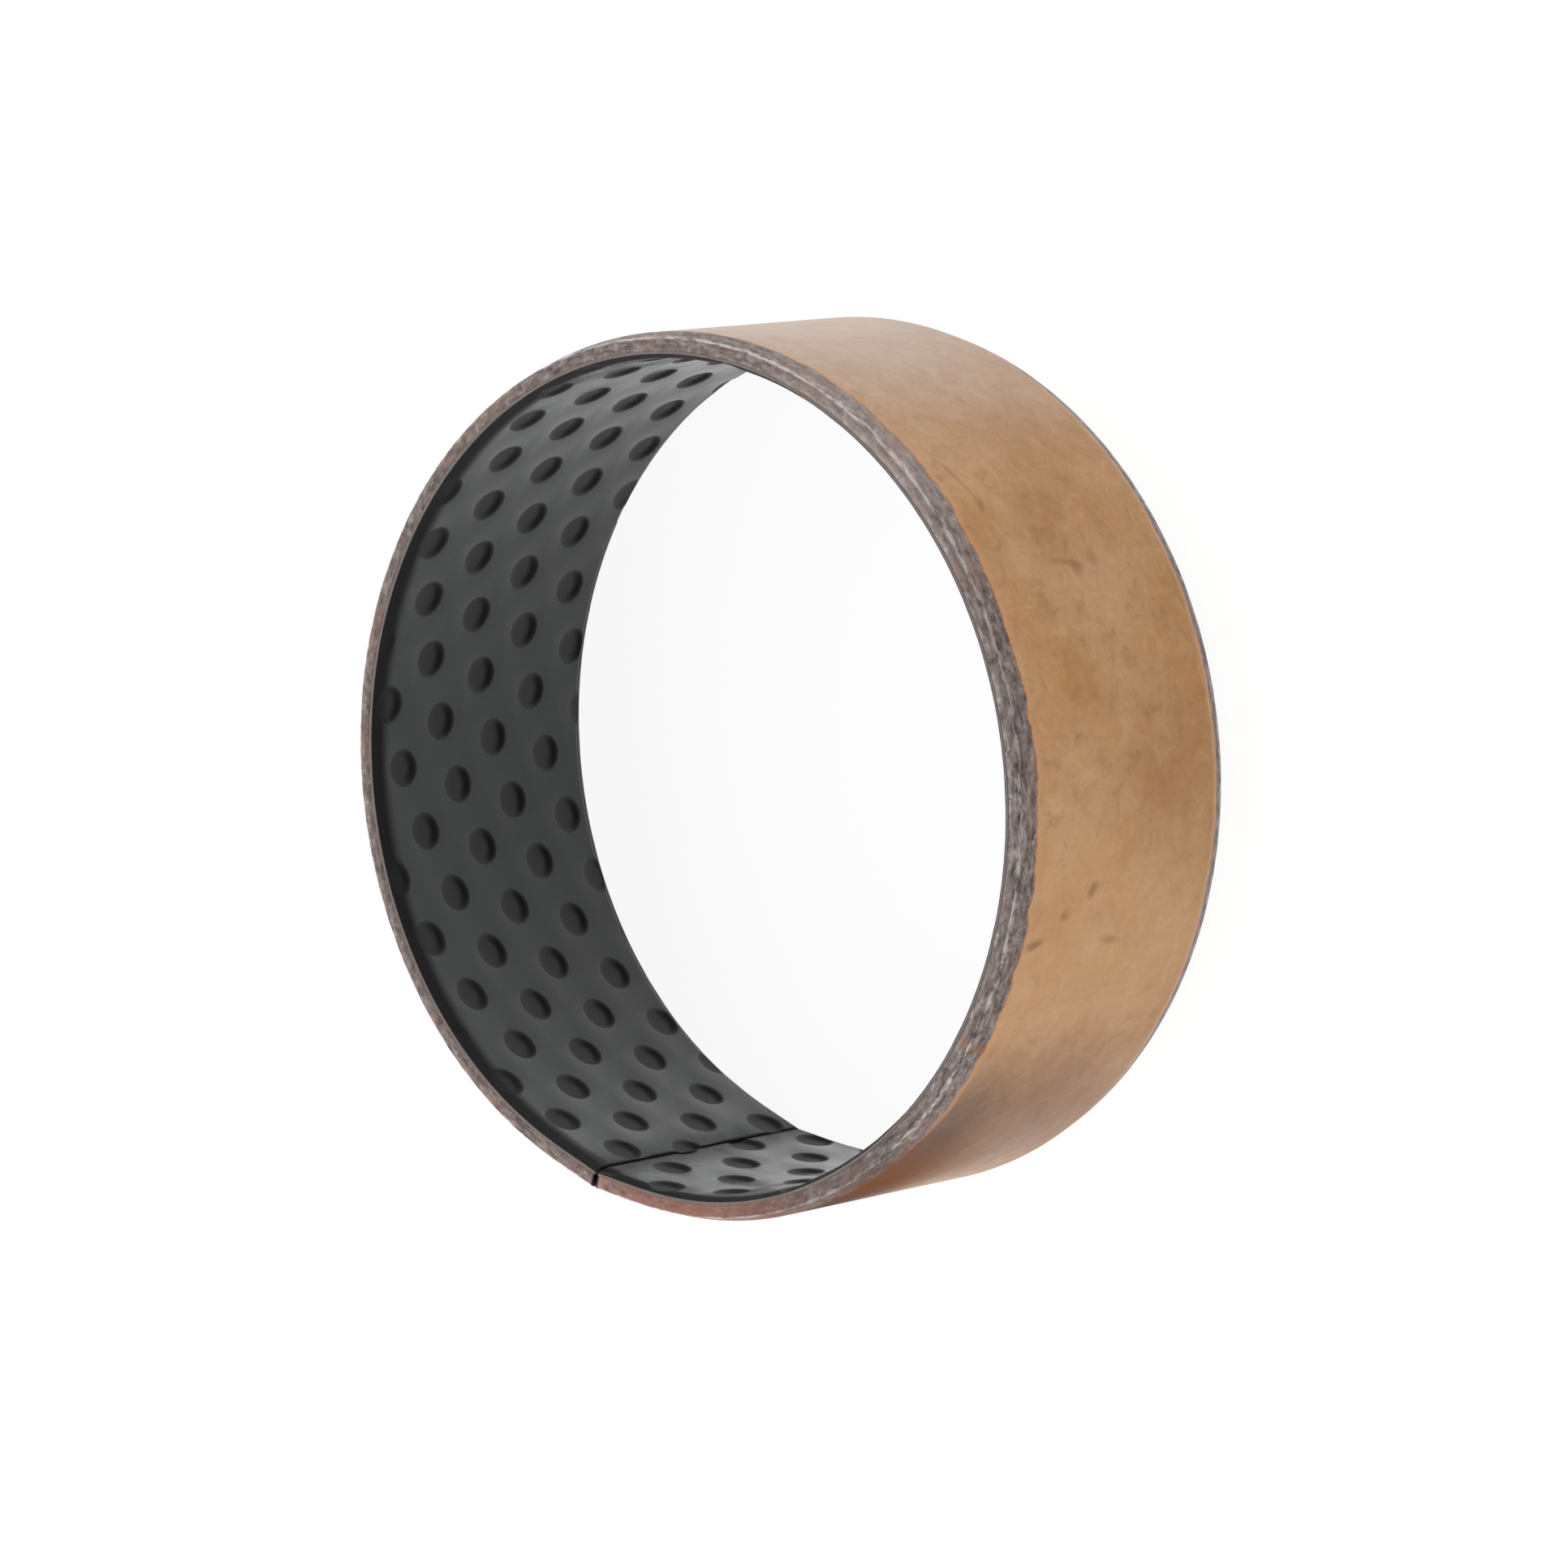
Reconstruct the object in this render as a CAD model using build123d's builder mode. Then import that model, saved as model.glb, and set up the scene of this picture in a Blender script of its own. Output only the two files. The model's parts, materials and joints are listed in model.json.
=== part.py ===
"""Wrapped composite plain bushing with a split seam and staggered oil pockets.

A flat strip of three bonded layers is stamped with pockets, cut to length and rolled into
a ring, so the bushing is one ring of steel, sintered bronze and polymer whose two ends
meet in a straight butt joint. It stands on its end: the bore axis is +Z, the origin is
the centre of the lower end face, and the seam is at the front, on -Y.
"""

import os
from math import ceil, cos, degrees, radians, sin, tan

from build123d import *

# Bore and length of the finished bushing, in millimetres.
bore_diameter = 80.0
length = 30.0

# The three bonded layers of the strip, from the outside inwards.
steel_thickness = 1.75
bronze_thickness = 0.30
lining_thickness = 0.45

# Chamfers on both ends: a long shallow one outside for pressing in, and a shorter one
# inside that stays within the lining. Lengths and angles are taken along the bore.
outer_chamfer_length = 1.8
outer_chamfer_angle = 16.0
inner_chamfer_length = 0.9
inner_chamfer_angle = 24.0

# Butt joint between the two ends of the strip, as wide as it is at the bore.
seam_gap = 0.4
seam_azimuth = -90.0

# Oil pockets: shallow dished hollows in a staggered grid that slants along the strip.
# The round outline is a polygon here, measured across its corners.
pocket_diameter = 3.4
pocket_floor_diameter = 2.9
pocket_sides = 10
lining_left_under_pocket = 0.10
pocket_pitch_along = 11.2
pocket_pitch_across = 7.9
pocket_slant = 17.1
# One pocket of the grid, from the first end of the strip and from the lower end face.
first_pocket_along = 5.5
first_pocket_height = 15.4
# How far a pocket's cutting tool stands into the empty bore.
tool_overlap = 0.2

# Radii of the free and the bonded faces.
bore_radius = bore_diameter / 2
bronze_radius = bore_radius + lining_thickness
steel_radius = bronze_radius + bronze_thickness
outer_radius = steel_radius + steel_thickness

# The strip as it lies round the bore, from one side of the butt joint to the other.
gap_angle = degrees(seam_gap / bore_radius)
strip_angle = 360.0 - gap_angle
strip_length = radians(strip_angle) * bore_radius

# A pocket's steep wall narrows from its rim at the bore to its floor.
pocket_depth = lining_thickness - lining_left_under_pocket
rim_radius = pocket_diameter / 2
floor_radius = pocket_floor_diameter / 2
wall_slope = (rim_radius - floor_radius) / pocket_depth


def plane_through_bore(azimuth):
    """Gives the plane with X pointing out at this azimuth and Y along the bore."""
    outwards = Vector(1, 0, 0).rotate(Axis.Z, azimuth)
    return Plane(origin=(0, 0, 0), x_dir=outwards, z_dir=outwards.cross(Vector(0, 0, 1)))


def layer_section(inner_radius, thickness):
    """Draws one layer's half section at the first end of the strip.

    The whole wall is drawn with its chamfers and then kept only where the layer is, so
    that a chamfer runs on from layer to layer.
    """
    outer_drop = outer_chamfer_length * tan(radians(outer_chamfer_angle))
    inner_drop = inner_chamfer_length * tan(radians(inner_chamfer_angle))
    with BuildSketch(plane_through_bore(seam_azimuth + gap_angle / 2)) as section:
        with BuildLine():
            Polyline(
                (bore_radius, inner_chamfer_length),
                (bore_radius + inner_drop, 0),
                (outer_radius - outer_drop, 0),
                (outer_radius, outer_chamfer_length),
                (outer_radius, length - outer_chamfer_length),
                (outer_radius - outer_drop, length),
                (bore_radius + inner_drop, length),
                (bore_radius, length - inner_chamfer_length),
                close=True,
            )
        make_face()
        with Locations((inner_radius, 0)):
            Rectangle(thickness, length, align=(Align.MIN, Align.MIN), mode=Mode.INTERSECT)
    return section.sketch


def pocket_places():
    """Lists each pocket whose floor reaches the strip, by its way along and its height."""
    slant = radians(pocket_slant)
    columns = ceil(2 * (strip_length + length) / pocket_pitch_along)
    rows = ceil(2 * (strip_length + length) / pocket_pitch_across)
    places = []
    for column in range(-columns, columns + 1):
        for row in range(-rows, rows + 1):
            if (column + row) % 2:
                continue
            forward = column * pocket_pitch_along / 2
            sideways = row * pocket_pitch_across / 2
            along = first_pocket_along + forward * cos(slant) - sideways * sin(slant)
            height = first_pocket_height + forward * sin(slant) + sideways * cos(slant)
            in_strip_length = -floor_radius < along < strip_length + floor_radius
            in_strip_width = -floor_radius < height < length + floor_radius
            if in_strip_length and in_strip_width:
                places.append((along, height))
    return places


def pocket_tools(places, trim):
    """Stands a cutting tool at each place on the strip, and trims them at the butt joint.

    A pocket at an end of the strip was sheared through with it. Its tool stops in the
    middle of the joint, so that it leaves the other end of the strip whole.
    """
    start = seam_azimuth + gap_angle / 2
    with BuildPart() as tools:
        with Locations(
            *[
                Location((0, 0, height), (0, 0, start + degrees(along / bore_radius)))
                for along, height in places
            ]
        ):
            add(pocket_tool.part)
        with BuildSketch(plane_through_bore(seam_azimuth)):
            with Locations((bore_radius, length / 2)):
                Rectangle(pocket_diameter, length + 2 * pocket_diameter)
        extrude(amount=trim, mode=Mode.SUBTRACT)
    return tools.part


# The body that cuts one pocket, at azimuth 0 and height 0.
with BuildPart() as pocket_tool:
    with BuildSketch(Plane.YZ.offset(bore_radius - tool_overlap)):
        RegularPolygon(rim_radius + wall_slope * tool_overlap, pocket_sides)
    with BuildSketch(Plane.YZ.offset(bore_radius + pocket_depth)):
        RegularPolygon(floor_radius, pocket_sides)
    loft(ruled=True)

steel_section = layer_section(steel_radius, steel_thickness)
bronze_section = layer_section(bronze_radius, bronze_thickness)
lining_section = layer_section(bore_radius, lining_thickness)

places = pocket_places()
first_half = [place for place in places if place[0] < strip_length / 2]
last_half = [place for place in places if place[0] >= strip_length / 2]
first_half_tools = pocket_tools(first_half, trim=pocket_diameter)
last_half_tools = pocket_tools(last_half, trim=-pocket_diameter)

with BuildPart() as steel_backing:
    revolve(steel_section, axis=Axis.Z, revolution_arc=strip_angle)

with BuildPart() as bronze_interlayer:
    revolve(bronze_section, axis=Axis.Z, revolution_arc=strip_angle)

with BuildPart() as polymer_lining:
    revolve(lining_section, axis=Axis.Z, revolution_arc=strip_angle)
    add(first_half_tools, mode=Mode.SUBTRACT)
    add(last_half_tools, mode=Mode.SUBTRACT)

os.makedirs("parts", exist_ok=True)
for name, piece in (
    ("steel_backing", steel_backing),
    ("bronze_interlayer", bronze_interlayer),
    ("polymer_lining", polymer_lining),
):
    piece.part.label = name
    export_step(piece.part, f"parts/{name}.step")
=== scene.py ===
"""Looks of a wrapped composite plain bushing: three bonded layers rolled from flat strip.

Each layer is modelled flat, as it comes off the mill, and then rolled into the ring. The
ring stands on its end on a pale floor. Lengths are metres, in the frame of the CAD part.
"""

import json
from math import ceil, cos, exp, pi, radians, sin, tan

import bpy
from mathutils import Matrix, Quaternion, Vector

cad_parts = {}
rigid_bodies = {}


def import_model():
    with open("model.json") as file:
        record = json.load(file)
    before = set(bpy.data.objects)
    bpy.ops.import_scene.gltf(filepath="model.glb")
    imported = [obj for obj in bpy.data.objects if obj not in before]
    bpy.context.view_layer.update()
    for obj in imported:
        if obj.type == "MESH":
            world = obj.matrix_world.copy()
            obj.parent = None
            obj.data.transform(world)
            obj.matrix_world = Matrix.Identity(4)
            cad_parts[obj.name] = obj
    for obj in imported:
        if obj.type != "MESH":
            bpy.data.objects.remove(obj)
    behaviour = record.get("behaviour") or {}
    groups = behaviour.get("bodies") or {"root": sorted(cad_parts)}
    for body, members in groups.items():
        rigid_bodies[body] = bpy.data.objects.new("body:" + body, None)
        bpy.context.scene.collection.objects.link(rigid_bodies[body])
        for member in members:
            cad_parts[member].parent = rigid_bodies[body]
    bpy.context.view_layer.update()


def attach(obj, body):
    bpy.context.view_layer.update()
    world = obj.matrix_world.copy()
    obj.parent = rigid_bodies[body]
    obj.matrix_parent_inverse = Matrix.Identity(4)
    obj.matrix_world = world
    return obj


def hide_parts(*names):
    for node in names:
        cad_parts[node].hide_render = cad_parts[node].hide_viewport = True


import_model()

MM = 0.001

# Radii of the layers and the length, as the solids have them.
BORE_RADIUS = 40.0 * MM
BRONZE_RADIUS = 40.45 * MM
STEEL_RADIUS = 40.75 * MM
OUTER_RADIUS = 42.5 * MM
LENGTH = 30.0 * MM

# Chamfers on both ends.
OUTER_CHAMFER_LENGTH = 1.8 * MM
OUTER_CHAMFER_ANGLE = radians(16)
OUTER_CHAMFER_DROP = OUTER_CHAMFER_LENGTH * tan(OUTER_CHAMFER_ANGLE)
INNER_CHAMFER_LENGTH = 0.9 * MM
INNER_CHAMFER_ANGLE = radians(24)
INNER_CHAMFER_DROP = INNER_CHAMFER_LENGTH * tan(INNER_CHAMFER_ANGLE)

# The strip lies round the bore, from one side of the butt joint to the other.
SEAM_GAP = 0.4 * MM
STRIP_ANGLE = 2 * pi - SEAM_GAP / BORE_RADIUS
STRIP_LENGTH = STRIP_ANGLE * BORE_RADIUS
# Steps along the strip that let it roll up round. The steel and the bronze are cut in two
# goes, 20 times 18 steps, and the lining's back face in one.
ROLLING_STEPS = (20, 18)
BACK_STEPS = 120
# The ends of the strip stay a little straight, which flattens the ring beside the joint.
FLATTENING = 0.25 * MM
FLATTENING_REACH = 5.0 * MM

# Oil pockets: round dishes in a staggered grid that slants along the strip.
PITCH_ALONG = 11.2 * MM
PITCH_ACROSS = 7.9 * MM
SLANT = radians(17.1)
FIRST_ALONG = 5.5 * MM
FIRST_HEIGHT = 15.4 * MM
POCKET_DEPTH = 0.35 * MM
POCKET_SIDES = 16
# From the flat bore face down a pocket's wall to its floor: radius and share of the depth.
POCKET_RINGS = (
    (2.05 * MM, 0.0),
    (1.9 * MM, 0.08),
    (1.62 * MM, 0.42),
    (1.3 * MM, 0.8),
    (0.95 * MM, 0.96),
    (0.5 * MM, 1.0),
)


# Modelling.

# Points this close together count as one.
SLACK = 0.003 * MM
# Steel and bronze are rounded off at edges that fold more than this.
SHARP_EDGE = radians(10)
STEEL_ROUNDING = 0.06 * MM
BRONZE_ROUNDING = 0.03 * MM
# Edges that fold less than this are shaded smooth. The lining's pockets ask for more.
SMOOTH_METAL = radians(40)
SMOOTH_LINING = radians(60)


def start_editing(piece):
    """Selects this piece alone and opens it for editing."""
    bpy.ops.object.select_all(action="DESELECT")
    piece.select_set(True)
    bpy.context.view_layer.objects.active = piece
    bpy.ops.object.mode_set(mode="EDIT")


def select(piece, kind, test):
    """Selects the vertices or edges whose corners, as a list, pass the test."""
    bpy.ops.mesh.select_all(action="DESELECT")
    bpy.ops.mesh.select_mode(type=kind)
    bpy.ops.object.mode_set(mode="OBJECT")
    mesh = piece.data
    if kind == "VERT":
        for vertex in mesh.vertices:
            vertex.select = test([vertex.co])
    else:
        for edge in mesh.edges:
            edge.select = test([mesh.vertices[index].co for index in edge.vertices])
    bpy.ops.object.mode_set(mode="EDIT")


def near(value, wanted):
    """Tells whether two coordinates are the same."""
    return abs(value - wanted) < SLACK


def flat_layer(name, inner_radius, outer_radius):
    """Adds a layer as a flat bar: X along the strip, Y towards the bore, Z across it."""
    bpy.ops.object.select_all(action="DESELECT")
    middle = BORE_RADIUS - (inner_radius + outer_radius) / 2
    bpy.ops.mesh.primitive_cube_add(size=1, location=(0, middle, LENGTH / 2))
    layer = bpy.context.object
    layer.name = name
    layer.scale = (STRIP_LENGTH, outer_radius - inner_radius, LENGTH)
    bpy.ops.object.transform_apply()
    start_editing(layer)
    return layer


def round_edges(radius):
    """Rounds the sharp edges of the layer in edit mode."""
    bpy.ops.mesh.select_all(action="DESELECT")
    bpy.ops.mesh.select_mode(type="EDGE")
    bpy.ops.mesh.edges_select_sharp(sharpness=SHARP_EDGE)
    bpy.ops.mesh.bevel(offset=radius, segments=2, profile=0.5)


def divide_along_strip(layer):
    """Cuts the layer in edit mode across its length, so that it can be rolled."""
    for steps in ROLLING_STEPS:
        select(
            layer,
            "EDGE",
            lambda corners: near(corners[0].y, corners[1].y)
            and near(corners[0].z, corners[1].z),
        )
        bpy.ops.mesh.subdivide(number_cuts=steps - 1)


def flatten_ends(layer):
    """Shifts a flat layer towards the bore beside its two ends, and not at the very ends."""
    group = layer.vertex_groups.new(name="beside_the_joint")
    for vertex in layer.data.vertices:
        share = (STRIP_LENGTH / 2 - abs(vertex.co.x)) / FLATTENING_REACH
        group.add([vertex.index], max(0, share) * exp(1 - share), "REPLACE")
    shift = layer.modifiers.new("flattening", "DISPLACE")
    shift.direction = "Y"
    shift.mid_level = 0
    shift.strength = FLATTENING
    shift.vertex_group = group.name
    bpy.ops.object.modifier_apply(modifier=shift.name)
    layer.vertex_groups.clear()


def roll_up(layer, sharp_angle):
    """Rolls a flat layer into the ring, with the butt joint at the front, on -Y."""
    bpy.ops.mesh.select_all(action="SELECT")
    bpy.ops.mesh.normals_make_consistent(inside=False)
    bpy.ops.object.mode_set(mode="OBJECT")
    flatten_ends(layer)
    bend = layer.modifiers.new("rolling", "SIMPLE_DEFORM")
    bend.deform_method = "BEND"
    bend.deform_axis = "Z"
    bend.angle = STRIP_ANGLE
    bpy.ops.object.modifier_apply(modifier=bend.name)
    start_editing(layer)
    bpy.ops.mesh.select_all(action="SELECT")
    bpy.ops.transform.translate(value=(0, -BORE_RADIUS, 0))
    bpy.ops.transform.rotate(value=pi, orient_axis="Z", center_override=(0, 0, 0))
    bpy.ops.object.mode_set(mode="OBJECT")
    bpy.ops.object.shade_smooth_by_angle(angle=sharp_angle)


def steel_backing():
    """Models the steel layer, with the long lead-in chamfers on its outside."""
    layer = flat_layer("copper_flashed_backing", STEEL_RADIUS, OUTER_RADIUS)
    for height in (OUTER_CHAMFER_LENGTH, LENGTH - OUTER_CHAMFER_LENGTH):
        bpy.ops.mesh.select_all(action="SELECT")
        bpy.ops.mesh.bisect(plane_co=(0, 0, height), plane_no=(0, 0, 1), threshold=SLACK)
    outside = BORE_RADIUS - OUTER_RADIUS
    select(
        layer,
        "VERT",
        lambda corners: near(corners[0].y, outside)
        and (near(corners[0].z, 0) or near(corners[0].z, LENGTH)),
    )
    bpy.ops.transform.translate(value=(0, OUTER_CHAMFER_DROP, 0))
    round_edges(STEEL_ROUNDING)
    divide_along_strip(layer)
    roll_up(layer, SMOOTH_METAL)
    return layer


def bronze_interlayer():
    """Models the thin sintered layer between the steel and the lining."""
    layer = flat_layer("sintered_bronze_layer", BRONZE_RADIUS, STEEL_RADIUS)
    round_edges(BRONZE_ROUNDING)
    divide_along_strip(layer)
    roll_up(layer, SMOOTH_METAL)
    return layer


def pocket_places():
    """Lists the tiles that reach the strip, by their way along it and their height."""
    columns = ceil(2 * STRIP_LENGTH / PITCH_ALONG)
    places = []
    for column in range(-columns, columns + 1):
        for row in range(-columns, columns + 1):
            if (column + row) % 2:
                continue
            forward = column * PITCH_ALONG / 2
            sideways = row * PITCH_ACROSS / 2
            along = FIRST_ALONG + forward * cos(SLANT) - sideways * sin(SLANT)
            height = FIRST_HEIGHT + forward * sin(SLANT) + sideways * cos(SLANT)
            reach = PITCH_ALONG / 2
            if -reach < along < STRIP_LENGTH + reach and -reach < height < LENGTH + reach:
                places.append((along, height))
    return places


def pocket_tile():
    """Models one diamond of the bore face, lying flat, with a dished pocket in its middle."""
    bpy.ops.object.select_all(action="DESELECT")
    bpy.ops.mesh.primitive_circle_add(vertices=4, radius=1)
    tile = bpy.context.object
    tile.scale = (PITCH_ALONG / 2, PITCH_ACROSS / 2, 1)
    bpy.ops.object.transform_apply()
    tile.rotation_euler = (0, 0, -SLANT)
    bpy.ops.object.transform_apply()
    start_editing(tile)
    bpy.ops.mesh.select_all(action="SELECT")
    bpy.ops.mesh.subdivide(number_cuts=POCKET_SIDES // 4 - 1)
    ring, depth = POCKET_RINGS[0]
    bpy.ops.mesh.primitive_circle_add(vertices=POCKET_SIDES, radius=ring, rotation=(0, 0, -SLANT))
    bpy.ops.mesh.select_all(action="SELECT")
    bpy.ops.mesh.bridge_edge_loops()
    select(tile, "VERT", lambda corners: near(corners[0].length, ring))
    for next_ring, next_depth in POCKET_RINGS[1:]:
        bpy.ops.mesh.extrude_edges_move()
        shrink = next_ring / ring
        bpy.ops.transform.resize(value=(shrink, shrink, 1), center_override=(0, 0, 0))
        bpy.ops.transform.translate(value=(0, 0, (depth - next_depth) * POCKET_DEPTH))
        ring, depth = next_ring, next_depth
    bpy.ops.mesh.extrude_edges_move()
    bpy.ops.mesh.merge(type="CENTER")
    bpy.ops.transform.translate(value=(0, 0, (depth - 1) * POCKET_DEPTH))
    bpy.ops.object.mode_set(mode="OBJECT")
    # Stood up, the pockets sink away from the bore and the slant climbs along the strip.
    tile.rotation_euler = (-pi / 2, 0, 0)
    bpy.ops.object.transform_apply()
    return tile


def tiled_bore_face():
    """Joins copies of the tile into one sheet and trims it to the strip and its chamfers."""
    tile = pocket_tile()
    bpy.ops.object.select_all(action="DESELECT")
    for along, height in pocket_places():
        copy = tile.copy()
        copy.data = tile.data.copy()
        copy.location = (along - STRIP_LENGTH / 2, 0, height)
        bpy.context.collection.objects.link(copy)
        copy.select_set(True)
    bpy.context.view_layer.objects.active = copy
    bpy.ops.object.join()
    bpy.data.objects.remove(tile)
    sheet = bpy.context.object
    sheet.name = "pocketed_lining"
    bpy.ops.object.transform_apply()
    start_editing(sheet)
    bpy.ops.mesh.select_all(action="SELECT")
    bpy.ops.mesh.remove_doubles(threshold=SLACK)
    towards_bore = cos(INNER_CHAMFER_ANGLE)
    towards_end = sin(INNER_CHAMFER_ANGLE)
    trims = (
        ((STRIP_LENGTH / 2, 0, 0), (1, 0, 0)),
        ((-STRIP_LENGTH / 2, 0, 0), (-1, 0, 0)),
        ((0, 0, INNER_CHAMFER_LENGTH), (0, towards_bore, -towards_end)),
        ((0, 0, LENGTH - INNER_CHAMFER_LENGTH), (0, towards_bore, towards_end)),
    )
    for place, outwards in trims:
        bpy.ops.mesh.select_all(action="SELECT")
        bpy.ops.mesh.bisect(plane_co=place, plane_no=outwards, clear_outer=True, threshold=SLACK)
    return sheet


def extrude_rim():
    """Extrudes the open rim of the sheet in edit mode and keeps the old rim as a crease."""
    bpy.ops.mesh.select_all(action="DESELECT")
    bpy.ops.mesh.select_mode(type="EDGE")
    bpy.ops.mesh.select_non_manifold(
        use_wire=False, use_multi_face=False, use_non_contiguous=False, use_verts=False
    )
    bpy.ops.mesh.mark_sharp()
    bpy.ops.mesh.extrude_edges_move()


def polymer_lining():
    """Models the lining: the pocketed bore face, given its chamfers, ends and flat back."""
    layer = tiled_bore_face()
    # The chamfers run down to the end faces.
    face = -INNER_CHAMFER_DROP
    extrude_rim()
    bpy.ops.transform.resize(value=(1, 0, 1), center_override=(0, face, 0))
    for low, high, end in (
        (0, INNER_CHAMFER_LENGTH, 0),
        (LENGTH - INNER_CHAMFER_LENGTH, LENGTH, LENGTH),
    ):
        select(
            layer,
            "VERT",
            lambda corners: near(corners[0].y, face)
            and low - SLACK < corners[0].z < high + SLACK,
        )
        bpy.ops.transform.resize(value=(1, 1, 0), center_override=(0, 0, end))
    bpy.ops.mesh.select_all(action="SELECT")
    bpy.ops.mesh.remove_doubles(threshold=SLACK)
    # The end faces run on to the flat back, which is bonded to the bronze.
    extrude_rim()
    back = BORE_RADIUS - BRONZE_RADIUS
    bpy.ops.transform.translate(value=(0, back - face, 0))
    bpy.ops.mesh.mark_sharp()
    bpy.ops.mesh.edge_face_add()
    # The back is one face until it is cut across, from one end of the strip to the other.
    # After a cut only the cut is selected, so what lies beside it is selected again.
    for step in range(1, BACK_STEPS):
        cut = STRIP_LENGTH * (step / BACK_STEPS - 0.5)
        bpy.ops.mesh.bisect(plane_co=(cut, 0, 0), plane_no=(1, 0, 0), threshold=SLACK)
        bpy.ops.mesh.select_more()
    roll_up(layer, SMOOTH_LINING)
    return layer


# Materials.

# Patterns are laid out in millimetres on the strip, as if unrolled from this radius.
UNROLLING_RADIUS = OUTER_RADIUS / MM
MIDDLE_HEIGHT = LENGTH / MM / 2


def srgb(hex_colour):
    """Turns an sRGB hex colour into the linear values that Blender works in."""
    values = [int(hex_colour[start : start + 2], 16) / 255 for start in (1, 3, 5)]
    linear = [v / 12.92 if v <= 0.04045 else ((v + 0.055) / 1.055) ** 2.4 for v in values]
    return (*linear, 1)


def add_node(tree, kind, sockets={}, **settings):
    """Adds a node, makes its settings, and fills or links the sockets that are given."""
    node = tree.nodes.new("ShaderNode" + kind)
    for name, value in settings.items():
        setattr(node, name, value)
    for socket, value in sockets.items():
        if isinstance(value, bpy.types.NodeSocket):
            tree.links.new(value, node.inputs[socket])
        else:
            node.inputs[socket].default_value = value
    return node


def new_material(name):
    """Starts an empty material and returns it with its node tree."""
    material = bpy.data.materials.new(name)
    material.use_nodes = True
    material.node_tree.nodes.clear()
    return material, material.node_tree


def strip_places(tree):
    """Adds the coordinates of the rolled strip, in millimetres, and returns their sockets.

    Unrolled: X round the ring from the place opposite the butt joint, Y the height, Z the
    radius. With it come the radius, as it would be without the flattening, the height, and
    the distances from the nearer end and from the butt joint.
    """
    place = add_node(tree, "TexCoord").outputs["Object"]
    place = add_node(
        tree, "VectorMath", {0: place, 1: (1 / MM, 1 / MM, 1 / MM)}, operation="MULTIPLY"
    ).outputs[0]
    across = add_node(tree, "VectorMath", {0: place, 1: (1, 1, 0)}, operation="MULTIPLY").outputs[0]
    radius = add_node(tree, "VectorMath", {0: across}, operation="LENGTH").outputs["Value"]
    axes = add_node(tree, "SeparateXYZ", {0: place})
    height = axes.outputs["Z"]
    angle = add_node(
        tree, "Math", {0: axes.outputs["X"], 1: axes.outputs["Y"]}, operation="ARCTAN2"
    ).outputs[0]
    along = add_node(tree, "Math", {0: angle, 1: UNROLLING_RADIUS}, operation="MULTIPLY").outputs[0]
    strip = add_node(tree, "CombineXYZ", {"X": along, "Y": height, "Z": radius}).outputs[0]
    turned = add_node(tree, "Math", {0: along}, operation="ABSOLUTE").outputs[0]
    joint = add_node(
        tree, "Math", {0: pi * UNROLLING_RADIUS, 1: turned}, operation="SUBTRACT"
    ).outputs[0]

    # What the flattening took from the radius beside the joint is added again.
    reach = add_node(tree, "Math", {0: joint, 1: FLATTENING_REACH / MM}, operation="DIVIDE").outputs[0]
    fall = add_node(tree, "Math", {0: 1.0, 1: reach}, operation="SUBTRACT").outputs[0]
    fall = add_node(tree, "Math", {0: fall}, operation="EXPONENT").outputs[0]
    taken = add_node(tree, "Math", {0: reach, 1: fall}, operation="MULTIPLY").outputs[0]
    radius = add_node(
        tree, "Math", {0: taken, 1: FLATTENING / MM, 2: radius}, operation="MULTIPLY_ADD"
    ).outputs[0]

    from_top = add_node(tree, "Math", {0: LENGTH / MM, 1: height}, operation="SUBTRACT").outputs[0]
    end = add_node(tree, "Math", {0: height, 1: from_top}, operation="MINIMUM").outputs[0]
    return strip, radius, height, end, joint


def spot_share(tree, surface, turn, height, half_length, half_width, tilt, softness):
    """Adds an oval patch on the strip and returns its share, 1 inside and 0 outside.

    Its place is the turn round the ring from the side opposite the butt joint, in degrees,
    and the height in millimetres. Its sizes are millimetres and its tilt is degrees.
    """
    oval = add_node(
        tree,
        "Mapping",
        {
            "Vector": surface,
            "Location": (radians(turn) * UNROLLING_RADIUS, height, 0),
            "Rotation": (0, 0, radians(tilt)),
            "Scale": (half_length, half_width, 1),
        },
        vector_type="TEXTURE",
    ).outputs[0]
    distance = add_node(tree, "VectorMath", {0: oval}, operation="LENGTH").outputs["Value"]
    return add_node(
        tree,
        "MapRange",
        {"Value": distance, "From Min": 1 + softness, "From Max": 1 - softness},
        interpolation_type="SMOOTHSTEP",
    ).outputs[0]


def stained_and_shaded(tree, colour, stains_and_shades):
    """Mixes oval patches into a colour: stains, and painted shade, sheen and highlight.

    Each has the surface that it lies on, its turn, height, half length, half width, tilt
    and softness, as above, then how strong it is and its own colour.
    """
    for surface, turn, height, half_length, half_width, tilt, softness, strength, tint in stains_and_shades:
        share = spot_share(tree, surface, turn, height, half_length, half_width, tilt, softness)
        share = add_node(tree, "Math", {0: share, 1: strength}, operation="MULTIPLY").outputs[0]
        colour = add_node(
            tree, "Mix", {0: share, 6: colour, 7: srgb(tint)}, data_type="RGBA"
        ).outputs[2]
    return colour


def tinted(tree, colour, value, start, full, strength, tint):
    """Mixes a tint into a colour: none where the value is at start, this strong past full."""
    share = add_node(
        tree, "MapRange", {"Value": value, "From Min": start, "From Max": full, "To Max": strength}
    ).outputs[0]
    return add_node(tree, "Mix", {0: share, 6: colour, 7: srgb(tint)}, data_type="RGBA").outputs[2]


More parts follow.
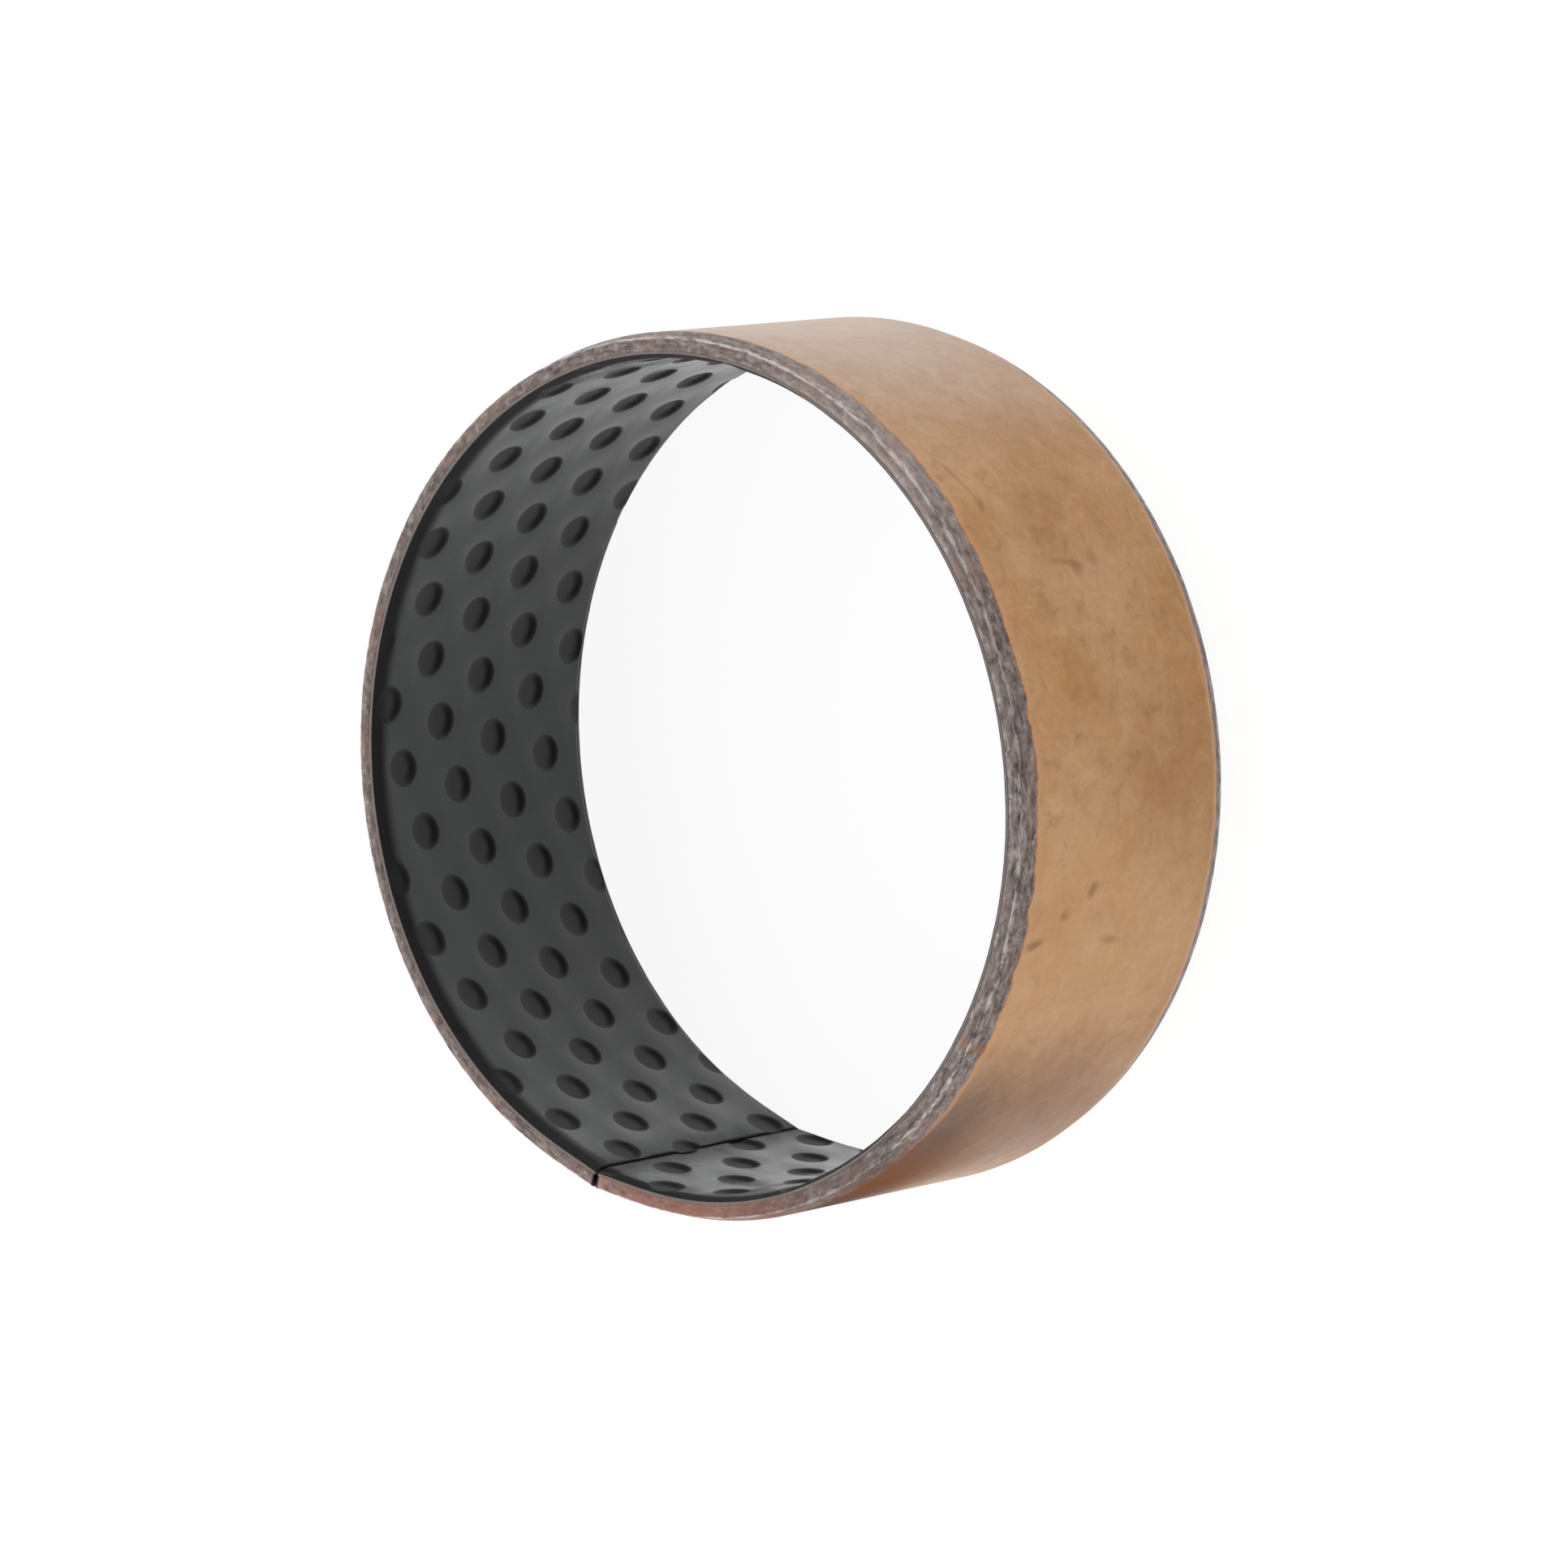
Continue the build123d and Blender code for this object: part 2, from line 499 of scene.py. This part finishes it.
def copper_flashed_steel():
    """Copper-flashed mild steel: cold rolled, coated, rolled up, then turned at both ends.

    The copper has gone a satin tan, cloudy and scuffed. It stops in a ragged line at the
    turned chamfers, which are bare mauve-grey steel with tool rings and pits.
    """
    material, tree = new_material("copper_flashed_steel")
    strip, radius, height, end, joint = strip_places(tree)

    # Copper: broad clouds of 10 mm, mottling of 2.5 mm, a rolled grain of 0.5 mm, and
    # streaks of 0.9 mm drawn out along the strip.
    clouds = add_node(
        tree, "TexNoise", {"Vector": strip, "Scale": 1 / 10, "Detail": 4, "Roughness": 0.55}
    ).outputs[0]
    mottle = add_node(
        tree,
        "TexNoise",
        {"Vector": strip, "Scale": 1 / 2.5, "Detail": 6, "Roughness": 0.62, "Distortion": 0.6},
    ).outputs[0]
    grain = add_node(
        tree, "TexNoise", {"Vector": strip, "Scale": 1 / 0.5, "Detail": 3, "Roughness": 0.6}
    ).outputs[0]
    drawn = add_node(tree, "VectorMath", {0: strip, 1: (1, 0.06, 1)}, operation="MULTIPLY").outputs[0]
    streaks = add_node(
        tree, "TexNoise", {"Vector": drawn, "Scale": 1 / 0.9, "Detail": 4, "Roughness": 0.6}
    ).outputs[0]
    copper = tinted(tree, srgb("#B08250"), clouds, 0.36, 0.64, 1.0, "#BC936A")
    copper = tinted(tree, copper, mottle, 0.52, 0.72, 0.55, "#9C7046")
    copper = tinted(tree, copper, mottle, 0.46, 0.30, 0.5, "#C49C76")
    fine = add_node(
        tree,
        "MapRange",
        {"Value": grain, "From Min": 0.3, "From Max": 0.7, "To Min": 0.96, "To Max": 1.04},
    ).outputs[0]
    lines = add_node(
        tree,
        "MapRange",
        {"Value": streaks, "From Min": 0.3, "From Max": 0.7, "To Min": 0.97, "To Max": 1.03},
    ).outputs[0]
    tone = add_node(tree, "Math", {0: fine, 1: lines}, operation="MULTIPLY").outputs[0]
    copper = add_node(tree, "HueSaturation", {"Value": tone, "Color": copper}).outputs[0]

    # Stains, scuffs and painted shade lie on the strip as seen through a ripple of 1.6 mm, which
    # frays them: slightly for small scuffs, more for the matt patch beside the joint and most for
    # broad patches.
    ripple = add_node(
        tree, "TexNoise", {"Vector": strip, "Scale": 1 / 1.6, "Detail": 5, "Roughness": 0.7}
    ).outputs["Color"]
    ripple = add_node(
        tree, "VectorMath", {0: ripple, 1: (0.5, 0.5, 0.5)}, operation="SUBTRACT"
    ).outputs[0]
    smooth = add_node(tree, "VectorMath", {0: strip, 1: (1, 1, 0)}, operation="MULTIPLY").outputs[0]
    crisp, frayed, ragged = (
        add_node(
            tree, "VectorMath", {0: ripple, 1: (way, way, 0), 2: smooth}, operation="MULTIPLY_ADD"
        ).outputs[0]
        for way in (0.9, 4, 7)
    )
    copper = stained_and_shaded(
        tree,
        copper,
        (
            (ragged, 94, 16.0, 11.0, 22.0, 0, 0.7, 0.4, "#D0A67C"),
            (ragged, 72, 7.5, 8.0, 7.0, 0, 0.8, 0.35, "#95653A"),
            (ragged, 37, 17.0, 4.0, 3.0, 0, 0.7, 0.35, "#98694A"),
            # The next two darken the copper round turns 126 and 127 as painted shade.
            (ragged, 126, 17.0, 12.0, 16.0, 0, 0.6, 0.85, "#875A34"),
            (crisp, 127, 25.5, 9.0, 5.5, 4, 0.8, 0.9, "#593312"),
            (crisp, 30.5, 24.4, 2.3, 0.2, -18, 0.9, 0.35, "#8A5A3A"),
            (crisp, 28.3, 24.9, 0.8, 0.4, -18, 0.9, 0.35, "#8A5A3A"),
            (crisp, 34.2, 23.8, 0.7, 0.45, 20, 0.9, 0.5, "#845232"),
            (crisp, 43.6, 16.0, 0.35, 1.5, 8, 0.9, 0.45, "#86592F"),
            (crisp, 44.4, 15.1, 0.65, 0.6, 0, 0.9, 0.55, "#7E5430"),
            (crisp, 43.3, 12.4, 0.9, 0.55, 0, 0.9, 0.4, "#865A36"),
            (crisp, 91.5, 26.3, 0.4, 1.2, -8, 0.8, 0.65, "#7A5233"),
            (crisp, 88.3, 22.6, 0.5, 0.5, 0, 0.8, 0.5, "#7E5638"),
            (crisp, 85.3, 18.9, 0.8, 0.5, 30, 0.8, 0.6, "#7C5230"),
            (crisp, 92.6, 15.0, 0.4, 1.3, 8, 0.8, 0.45, "#80603C"),
            (crisp, -155, 12.0, 2.6, 0.14, 35, 0.6, 0.5, "#7E5036"),
            (crisp, -70, 19.0, 0.16, 1.5, 12, 0.6, 0.5, "#7C5236"),
            (ragged, -110, 14.0, 9.0, 7.0, 0, 0.8, 0.35, "#95653A"),
        ),
    )
    flecks = add_node(
        tree,
        "TexNoise",
        {"Vector": strip, "Scale": 1 / 1.3, "Detail": 5, "Roughness": 0.75, "Distortion": 0.4},
    ).outputs[0]
    copper = tinted(tree, copper, flecks, 0.665, 0.74, 0.6, "#7E5638")
    # A pale grey-pink patch round turn -12, over the whole height, is a painted sheen.
    copper = stained_and_shaded(tree, copper, ((ragged, -12, 15.0, 19.0, 30.0, 0, 0.8, 0.68, "#BFAFA4"),))
    # Near the joint a matt patch of painted shade is burnt orange, with a darker brown strip along one
    # side.
    painted_shade_patch = spot_share(tree, frayed, 138, 27, 8.5, 10, -10, 0.85)
    dark_brown_strip = spot_share(tree, frayed, 145.5, 28, 4.5, 9, -12, 0.9)
    shaded_matt_patch = add_node(tree, "Math", {0: painted_shade_patch, 1: dark_brown_strip}, operation="MAXIMUM").outputs[0]
    copper = add_node(
        tree, "Mix", {0: painted_shade_patch, 6: copper, 7: srgb("#7A4210")}, data_type="RGBA"
    ).outputs[2]
    copper = add_node(
        tree, "Mix", {0: dark_brown_strip, 6: copper, 7: srgb("#50301A")}, data_type="RGBA"
    ).outputs[2]

    # The coating ends in a ragged line near the foot of each chamfer, 1.55 to 2.35 mm from
    # the end. At the lower end it runs a little way down the chamfer.
    edge_way = add_node(
        tree, "VectorMath", {0: strip, 1: (1, 0.3, 0)}, operation="MULTIPLY"
    ).outputs[0]
    tears = add_node(
        tree, "TexNoise", {"Vector": edge_way, "Scale": 1 / 3.5, "Detail": 7, "Roughness": 0.68}
    ).outputs[0]
    border = add_node(
        tree,
        "MapRange",
        {"Value": tears, "From Min": 0.3, "From Max": 0.7, "To Min": 1.55, "To Max": 2.35},
    ).outputs[0]
    lower = add_node(
        tree,
        "MapRange",
        {
            "Value": height,
            "From Min": MIDDLE_HEIGHT - 1,
            "From Max": MIDDLE_HEIGHT + 1,
            "To Min": 0.55,
            "To Max": 1,
        },
    ).outputs[0]
    border = add_node(tree, "Math", {0: border, 1: lower}, operation="MULTIPLY").outputs[0]
    margin = add_node(tree, "Math", {0: end, 1: border}, operation="SUBTRACT").outputs[0]
    # Towards this line the coating is brighter, but not on the matt patch of painted shade,
    # and its very edge is red-brown.
    bright = add_node(
        tree, "MapRange", {"Value": margin, "From Min": 1.1, "From Max": 0.2, "To Max": 0.7}
    ).outputs[0]
    bright = add_node(
        tree, "Math", {0: bright, 1: shaded_matt_patch}, operation="SUBTRACT", use_clamp=True
    ).outputs[0]
    copper = add_node(
        tree, "Mix", {0: bright, 6: copper, 7: srgb("#C79468")}, data_type="RGBA"
    ).outputs[2]
    copper = tinted(tree, copper, margin, 0.24, 0.06, 0.7, "#94644C")

    # Bare steel: tool rings about 0.5 mm apart, pits of 0.8 mm, and a breath of copper
    # dragged over it in patches of 7 mm. The rings are drawn coarser than they are, to show.
    ringed = add_node(
        tree, "VectorMath", {0: strip, 1: (0.6, 2.2, 2.2)}, operation="MULTIPLY"
    ).outputs[0]
    rings = add_node(
        tree, "TexNoise", {"Vector": ringed, "Scale": 1, "Detail": 4, "Roughness": 0.7}
    ).outputs[0]
    pits = add_node(
        tree, "TexNoise", {"Vector": strip, "Scale": 1 / 0.8, "Detail": 4, "Roughness": 0.6}
    ).outputs[0]
    drag = add_node(
        tree, "TexNoise", {"Vector": strip, "Scale": 1 / 7, "Detail": 4, "Roughness": 0.6}
    ).outputs[0]
    steel = tinted(tree, srgb("#584D4A"), rings, 0.34, 0.66, 1.0, "#978B86")
    steel = tinted(tree, steel, pits, 0.52, 0.68, 0.7, "#48403F")
    steel = tinted(tree, steel, pits, 0.42, 0.28, 0.6, "#BDB3AF")
    steel = tinted(tree, steel, drag, 0.48, 0.68, 0.45, "#8C6C62")
    steel = stained_and_shaded(
        tree,
        steel,
        (
            # A paler patch on the upper end face round turn 20 is a painted highlight.
            (ragged, 20, 29.5, 13.0, 5.0, 0, 0.6, 0.22, "#BDB2AC"),
            (crisp, 106.3, 28.3, 0.5, 2.2, 10, 0.8, 0.55, "#94613F"),
            (crisp, 131.5, 28.0, 6.0, 1.4, 0, 0.8, 0.6, "#6E4A34"),
            (ragged, 162, 29.0, 14.0, 3.0, 0, 0.5, 0.65, "#996657"),
            (crisp, 179.5, 29.0, 0.8, 3.0, 0, 0.5, 0.5, "#B08468"),
        ),
    )

    # The corner between end face and chamfer is burnished by handling, here and there, and painted
    # pale along it as a highlight.
    corner = (OUTER_RADIUS - OUTER_CHAMFER_DROP) / MM
    away = add_node(tree, "Math", {0: radius, 1: corner}, operation="SUBTRACT").outputs[0]
    away = add_node(tree, "Math", {0: away}, operation="ABSOLUTE").outputs[0]
    burnish_and_highlight = add_node(
        tree, "MapRange", {"Value": away, "From Min": 0.17, "From Max": 0.04, "To Max": 0.75}
    ).outputs[0]
    broken = add_node(
        tree, "MapRange", {"Value": rings, "From Min": 0.42, "From Max": 0.58}
    ).outputs[0]
    burnish_and_highlight = add_node(tree, "Math", {0: burnish_and_highlight, 1: broken}, operation="MULTIPLY").outputs[0]
    steel = add_node(
        tree, "Mix", {0: burnish_and_highlight, 6: steel, 7: srgb("#C6BFBB")}, data_type="RGBA"
    ).outputs[2]

    # Grease and dirt have gathered at the sheared ends of the strip.
    steel = tinted(tree, steel, joint, 0.55, 0.35, 1.0, "#2B2422")
    copper = tinted(tree, copper, joint, 0.55, 0.35, 1.0, "#4A3222")

    # The turning took the coating off wherever it went 0.4 mm deep, whatever the line says.
    on_coat = add_node(
        tree, "MapRange", {"Value": margin, "From Min": -0.04, "From Max": 0.04}
    ).outputs[0]
    on_outside = add_node(
        tree,
        "MapRange",
        {
            "Value": radius,
            "From Min": OUTER_RADIUS / MM - 0.40,
            "From Max": OUTER_RADIUS / MM - 0.34,
        },
    ).outputs[0]
    coated = add_node(tree, "Math", {0: on_coat, 1: on_outside}, operation="MULTIPLY").outputs[0]
    colour = add_node(tree, "Mix", {0: coated, 6: steel, 7: copper}, data_type="RGBA").outputs[2]

    satin = add_node(
        tree,
        "MapRange",
        {"Value": mottle, "From Min": 0.3, "From Max": 0.7, "To Min": 0.44, "To Max": 0.58},
    ).outputs[0]
    turned = add_node(
        tree,
        "MapRange",
        {"Value": rings, "From Min": 0.3, "From Max": 0.7, "To Min": 0.55, "To Max": 0.38},
    ).outputs[0]
    roughness = add_node(tree, "Mix", {0: coated, 2: turned, 3: satin}).outputs[0]
    # The patch of painted shade beside the joint is matt and hardly metallic.
    roughness = add_node(tree, "Mix", {0: shaded_matt_patch, 2: roughness, 3: 0.95}).outputs[0]
    metallic = add_node(tree, "Mix", {0: shaded_matt_patch, 2: 0.85, 3: 0.1}).outputs[0]
    # A film of oil gives the copper a soft white sheen at low angles.
    oiled = add_node(
        tree, "Math", {0: coated, 1: shaded_matt_patch}, operation="SUBTRACT", use_clamp=True
    ).outputs[0]
    oiled = add_node(tree, "Math", {0: oiled, 1: 0.25}, operation="MULTIPLY").outputs[0]

    scuffed = add_node(tree, "Math", {0: mottle, 1: streaks}, operation="ADD").outputs[0]
    scuffed = add_node(
        tree, "Math", {0: grain, 1: 0.4, 2: scuffed}, operation="MULTIPLY_ADD"
    ).outputs[0]
    cut = add_node(tree, "Math", {0: pits, 1: -0.8, 2: rings}, operation="MULTIPLY_ADD").outputs[0]
    relief = add_node(tree, "Mix", {0: coated, 2: cut, 3: scuffed}).outputs[0]
    bump = add_node(
        tree, "Bump", {"Strength": 1.0, "Distance": 0.03 * MM, "Height": relief}
    ).outputs[0]

    shader = add_node(
        tree,
        "BsdfPrincipled",
        {
            "Base Color": colour,
            "Metallic": metallic,
            "Roughness": roughness,
            "Normal": bump,
            "Coat Weight": oiled,
            "Coat Roughness": 0.25,
        },
    )
    add_node(tree, "OutputMaterial", {"Surface": shader.outputs[0]})
    return material


def sintered_bronze():
    """Sintered bronze: powder fused into a porous bed, so its cut edge looks gritty."""
    material, tree = new_material("sintered_bronze")
    strip = strip_places(tree)[0]
    # The powder is about 0.1 mm, drawn at 0.2 mm to show.
    beads = add_node(tree, "TexVoronoi", {"Vector": strip, "Scale": 1 / 0.2}).outputs["Distance"]
    tone = add_node(
        tree, "TexNoise", {"Vector": strip, "Scale": 1 / 3, "Detail": 5, "Roughness": 0.7}
    ).outputs[0]
    dark = tinted(tree, srgb("#6E645F"), beads, 0.1, 0.6, 1.0, "#322C2B")
    dark = tinted(tree, dark, tone, 0.4, 0.65, 0.6, "#66534B")
    # Round most of the ring the cut is clean and paler. On one side it is painted darker, as shade.
    shaded_cut = spot_share(tree, strip, -115, 30, 45, 300, 0, 0.3)
    pale = add_node(tree, "Mix", {0: shaded_cut, 6: srgb("#8C837F"), 7: dark}, data_type="RGBA").outputs[2]
    colour = add_node(tree, "Mix", {0: 0.75, 6: dark, 7: pale}, data_type="RGBA").outputs[2]
    roughness = add_node(
        tree,
        "MapRange",
        {"Value": tone, "From Min": 0.3, "From Max": 0.7, "To Min": 0.5, "To Max": 0.7},
    ).outputs[0]
    bump = add_node(
        tree,
        "Bump",
        {"Strength": 1.0, "Distance": 0.03 * MM, "Height": beads},
        invert=True,
    ).outputs[0]
    shader = add_node(
        tree,
        "BsdfPrincipled",
        {"Base Color": colour, "Metallic": 0.85, "Roughness": roughness, "Normal": bump},
    )
    add_node(tree, "OutputMaterial", {"Surface": shader.outputs[0]})
    return material


def acetal():
    """Acetal copolymer: rolled on hot with its pockets pressed in, near black and satin.

    It looks slate grey where it mirrors pale surroundings, and black down in the pockets,
    where the shine is lost and shade is painted in.
    """
    material, tree = new_material("acetal")
    strip, radius, height, end, joint = strip_places(tree)

    # Clouds of 6 mm, a grain of 0.6 mm, and rub marks of 0.7 mm drawn out along the strip.
    clouds = add_node(
        tree, "TexNoise", {"Vector": strip, "Scale": 1 / 6, "Detail": 5, "Roughness": 0.6}
    ).outputs[0]
    grain = add_node(
        tree, "TexNoise", {"Vector": strip, "Scale": 1 / 0.6, "Detail": 4, "Roughness": 0.65}
    ).outputs[0]
    drawn = add_node(tree, "VectorMath", {0: strip, 1: (0.05, 1, 1)}, operation="MULTIPLY").outputs[0]
    rubbed = add_node(
        tree, "TexNoise", {"Vector": drawn, "Scale": 1 / 0.7, "Detail": 4, "Roughness": 0.6}
    ).outputs[0]
    colour = tinted(tree, srgb("#25292A"), clouds, 0.35, 0.65, 1.0, "#2E3232")
    tone = add_node(
        tree,
        "MapRange",
        {"Value": grain, "From Min": 0.3, "From Max": 0.7, "To Min": 0.9, "To Max": 1.1},
    ).outputs[0]
    colour = add_node(tree, "HueSaturation", {"Value": tone, "Color": colour}).outputs[0]
    worn = add_node(tree, "Math", {0: clouds, 1: rubbed}, operation="ADD").outputs[0]
    roughness = add_node(
        tree,
        "MapRange",
        {"Value": worn, "From Min": 0.7, "From Max": 1.3, "To Min": 0.16, "To Max": 0.26},
    ).outputs[0]

    # Below the bore face the pockets are painted darker, as shade, and their walls have lost the
    # shine.
    bore = BORE_RADIUS / MM
    depth = add_node(
        tree, "MapRange", {"Value": radius, "From Min": bore + 0.01, "From Max": bore + 0.16}
    ).outputs[0]
    colour = add_node(
        tree, "Mix", {0: depth, 6: colour, 7: srgb("#191A19")}, data_type="RGBA"
    ).outputs[2]
    lip = add_node(
        tree, "MapRange", {"Value": radius, "From Min": bore, "From Max": bore + 0.04}
    ).outputs[0]
    roughness = add_node(tree, "Mix", {0: lip, 2: roughness, 3: 0.58}).outputs[0]
    # The wall of each pocket that faces the upper end is painted near black and matt, as shade.
    facing = add_node(tree, "TexCoord").outputs["Normal"]
    upwards = add_node(tree, "SeparateXYZ", {0: facing}).outputs["Z"]
    shaded_wall = add_node(
        tree, "MapRange", {"Value": upwards, "From Min": 0.04, "From Max": 0.3}
    ).outputs[0]
    shaded_wall = add_node(tree, "Math", {0: shaded_wall, 1: depth}, operation="MULTIPLY").outputs[0]
    colour = add_node(
        tree, "Mix", {0: shaded_wall, 6: colour, 7: srgb("#0B0B0A")}, data_type="RGBA"
    ).outputs[2]
    roughness = add_node(tree, "Mix", {0: shaded_wall, 2: roughness, 3: 0.9}).outputs[0]

    # A dull black band of painted shade runs along the upper chamfer, strongest on one side.
    shaded_band = add_node(tree, "MapRange", {"Value": end, "From Min": 2.3, "From Max": 1.0}).outputs[0]
    face = add_node(tree, "VectorMath", {0: strip, 1: (1, 1, 0)}, operation="MULTIPLY").outputs[0]
    side = spot_share(tree, face, -108, 15, 58, 300, 0, 0.2)
    side = add_node(tree, "MapRange", {"Value": side, "To Min": 0.15}).outputs[0]
    upper = add_node(
        tree,
        "MapRange",
        {
            "Value": height,
            "From Min": MIDDLE_HEIGHT - 1,
            "From Max": MIDDLE_HEIGHT + 1,
            "To Min": 0.1,
        },
    ).outputs[0]
    side = add_node(tree, "Math", {0: side, 1: upper}, operation="MULTIPLY").outputs[0]
    shaded_band = add_node(tree, "Math", {0: shaded_band, 1: side}, operation="MULTIPLY").outputs[0]
    # A frayed black line of grease runs along the joint.
    frayed = add_node(
        tree, "Math", {0: grain, 1: 0.5, 2: joint}, operation="MULTIPLY_ADD"
    ).outputs[0]
    frayed = add_node(
        tree, "Math", {0: clouds, 1: 1.2, 2: frayed}, operation="MULTIPLY_ADD"
    ).outputs[0]
    line = add_node(tree, "MapRange", {"Value": frayed, "From Min": 1.4, "From Max": 1.05}).outputs[0]
    shade_and_joint_grease = add_node(tree, "Math", {0: shaded_band, 1: line}, operation="MAXIMUM").outputs[0]
    # The painted shade and the grease along the joint are both near black and matt.
    colour = add_node(
        tree, "Mix", {0: shade_and_joint_grease, 6: colour, 7: srgb("#0F0E0D")}, data_type="RGBA"
    ).outputs[2]
    roughness = add_node(tree, "Mix", {0: shade_and_joint_grease, 2: roughness, 3: 0.8}).outputs[0]

    relief = add_node(
        tree, "Math", {0: grain, 1: 0.5, 2: rubbed}, operation="MULTIPLY_ADD"
    ).outputs[0]
    bump = add_node(
        tree, "Bump", {"Strength": 1.0, "Distance": 0.006 * MM, "Height": relief}
    ).outputs[0]
    shader = add_node(
        tree,
        "BsdfPrincipled",
        {"Base Color": colour, "Roughness": roughness, "IOR": 1.5, "Normal": bump},
    )
    add_node(tree, "OutputMaterial", {"Surface": shader.outputs[0]})
    return material


# The object.

pieces = (
    (steel_backing(), "steel_backing", copper_flashed_steel()),
    (bronze_interlayer(), "bronze_interlayer", sintered_bronze()),
    (polymer_lining(), "polymer_lining", acetal()),
)
for piece, node, material in pieces:
    piece.data.materials.clear()
    piece.data.materials.append(material)
    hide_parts(node)
    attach(piece, "root")


# Camera, floor and lights.

CAMERA_AZIMUTH = radians(26.405)
CAMERA_ELEVATION = radians(48.240)
CAMERA_ROLL = radians(98.558)
CAMERA_DISTANCE = 707.49 * MM
CAMERA_AIM = Vector((0.841, -1.648, 14.982)) * MM
CAMERA_LENS = 168.54
CAMERA_NEAREST = 50 * MM
SENSOR_WIDTH = 36
FLOOR_SIZE = 3.0

backwards = Vector(
    (
        cos(CAMERA_AZIMUTH) * cos(CAMERA_ELEVATION),
        sin(CAMERA_AZIMUTH) * cos(CAMERA_ELEVATION),
        sin(CAMERA_ELEVATION),
    )
)
bpy.ops.object.camera_add(location=CAMERA_AIM + backwards * CAMERA_DISTANCE)
camera = bpy.context.object
camera.rotation_mode = "QUATERNION"
level_view = (-backwards).to_track_quat("-Z", "Y")
camera.rotation_quaternion = level_view @ Quaternion((0, 0, 1), -CAMERA_ROLL)
camera.data.lens = CAMERA_LENS
camera.data.sensor_width = SENSOR_WIDTH
camera.data.clip_start = CAMERA_NEAREST
bpy.context.scene.camera = camera

bpy.ops.mesh.primitive_plane_add(size=FLOOR_SIZE)
floor = bpy.context.object
floor.name = "floor"
paint, tree = new_material("pale_floor")
# Seen directly or mirrored, the floor glows near white and keeps a faint shadow.
rays = add_node(tree, "LightPath")
seen = add_node(
    tree,
    "Math",
    {0: rays.outputs["Is Camera Ray"], 1: rays.outputs["Is Glossy Ray"]},
    operation="MAXIMUM",
).outputs[0]
colour = add_node(
    tree, "Mix", {0: seen, 6: srgb("#E4E4E4"), 7: srgb("#7C7C7C")}, data_type="RGBA"
).outputs[2]
glow = add_node(tree, "Math", {0: seen, 1: 0.9}, operation="MULTIPLY").outputs[0]
shader = add_node(
    tree,
    "BsdfPrincipled",
    {
        "Base Color": colour,
        "Roughness": 0.9,
        "Emission Color": srgb("#FFFFFF"),
        "Emission Strength": glow,
    },
)
add_node(tree, "OutputMaterial", {"Surface": shader.outputs[0]})
floor.data.materials.append(paint)

# The studio is bright low down all round, dimmer overhead and dim on the viewer's side.
world = bpy.data.worlds.new("studio")
bpy.context.scene.world = world
world.use_nodes = True
tree = world.node_tree
tree.nodes.clear()
direction = add_node(tree, "TexCoord").outputs["Generated"]
rise = add_node(tree, "SeparateXYZ", {0: direction}).outputs["Z"]
level = add_node(
    tree,
    "MapRange",
    {"Value": rise, "From Min": 0.0, "From Max": 0.9, "To Min": 2.4, "To Max": 1.0},
    interpolation_type="SMOOTHSTEP",
).outputs[0]
lean = add_node(
    tree, "VectorMath", {0: direction, 1: backwards}, operation="DOT_PRODUCT"
).outputs["Value"]
shade = add_node(
    tree,
    "MapRange",
    {"Value": lean, "From Min": 0.2, "From Max": 0.85, "To Min": 1.0, "To Max": 0.25},
    interpolation_type="SMOOTHSTEP",
).outputs[0]
level = add_node(tree, "Math", {0: level, 1: shade}, operation="MULTIPLY").outputs[0]
rays = add_node(tree, "LightPath")
level = add_node(tree, "Mix", {0: rays.outputs["Is Camera Ray"], 2: level, 3: 1.0}).outputs[0]
background = add_node(tree, "Background", {"Color": srgb("#FFFFFF"), "Strength": level})
add_node(tree, "OutputWorld", {"Surface": background.outputs[0]})

bpy.context.scene.view_settings.view_transform = "Standard"
